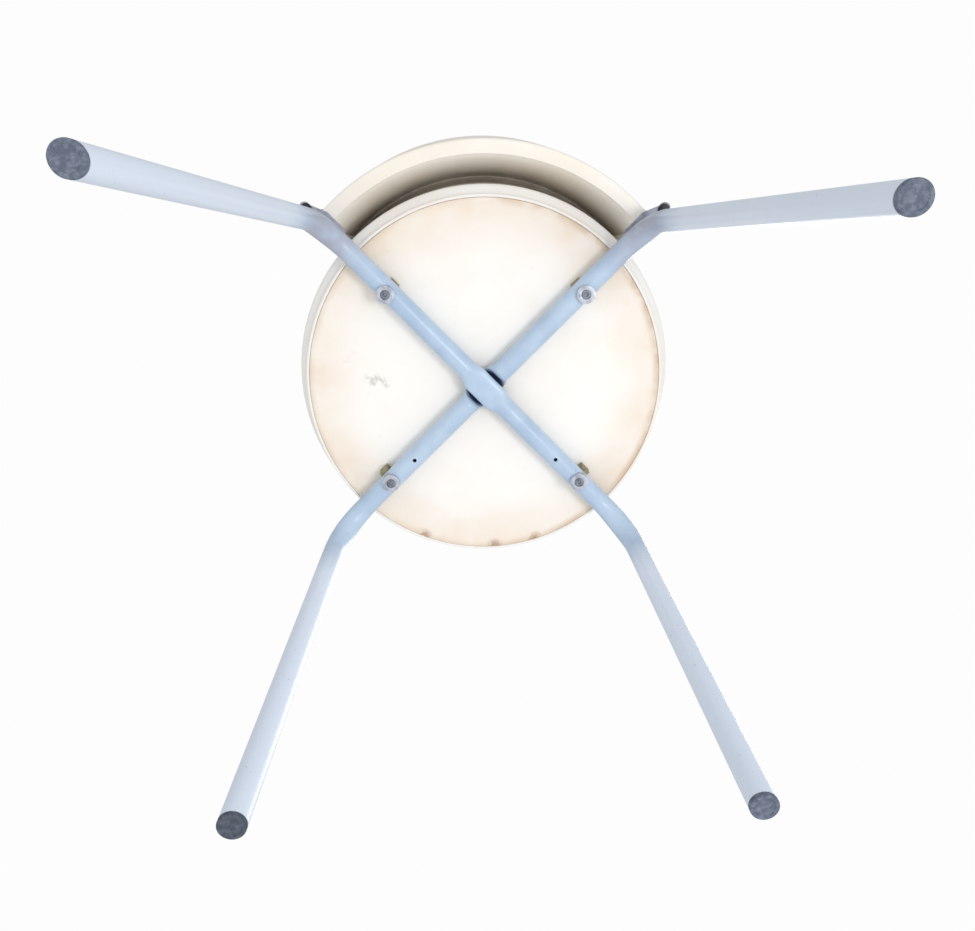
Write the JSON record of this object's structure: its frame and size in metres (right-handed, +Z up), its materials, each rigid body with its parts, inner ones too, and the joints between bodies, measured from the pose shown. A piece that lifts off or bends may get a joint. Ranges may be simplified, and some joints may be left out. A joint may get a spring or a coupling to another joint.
{
  "type": "shower stool",
  "caption": "Round moulded shower stool on crossed bent-tube legs, with a low curved backrest on two short posts.",
  "frame": {"origin": "middle of the feet's footprint, on the floor", "axes": "+Z up, front of the seat towards -Y, backrest at +Y"},
  "size_m": [0.4522, 0.4322, 0.56],
  "materials": {
    "seat_white": "moulded, satin",
    "base_cream": "moulded, satin, warm at the edge",
    "brass_insert": "machined",
    "blue_paint": "pale blue enamel",
    "olive_plastic": "moulded, worn",
    "steel_washer": "plated",
    "dark_steel": "dull",
    "slate_rubber": "scuffed",
    "bracket_paint": "blue-grey enamel",
    "black_plastic": "moulded"
  },
  "bodies": {
    "root": {"seat_top": "seat_white", "seat_base": "base_cream", "seat_inserts": "brass_insert", "leg_tube_lower": "blue_paint", "leg_tube_upper": "blue_paint", "saddle_rear_left": "olive_plastic", "saddle_rear_right": "olive_plastic", "saddle_front_left": "olive_plastic", "saddle_front_right": "olive_plastic", "leg_washers": "steel_washer", "leg_screws": "dark_steel", "foot_rear_left": "slate_rubber", "foot_rear_right": "slate_rubber", "foot_front_left": "slate_rubber", "foot_front_right": "slate_rubber", "backrest": "seat_white", "backrest_screws": "steel_washer", "post_left": "blue_paint", "post_right": "blue_paint", "post_bracket_left": "bracket_paint", "post_bracket_right": "bracket_paint", "post_plug_left": "black_plastic", "post_plug_right": "black_plastic"}
  },
  "joints": []
}
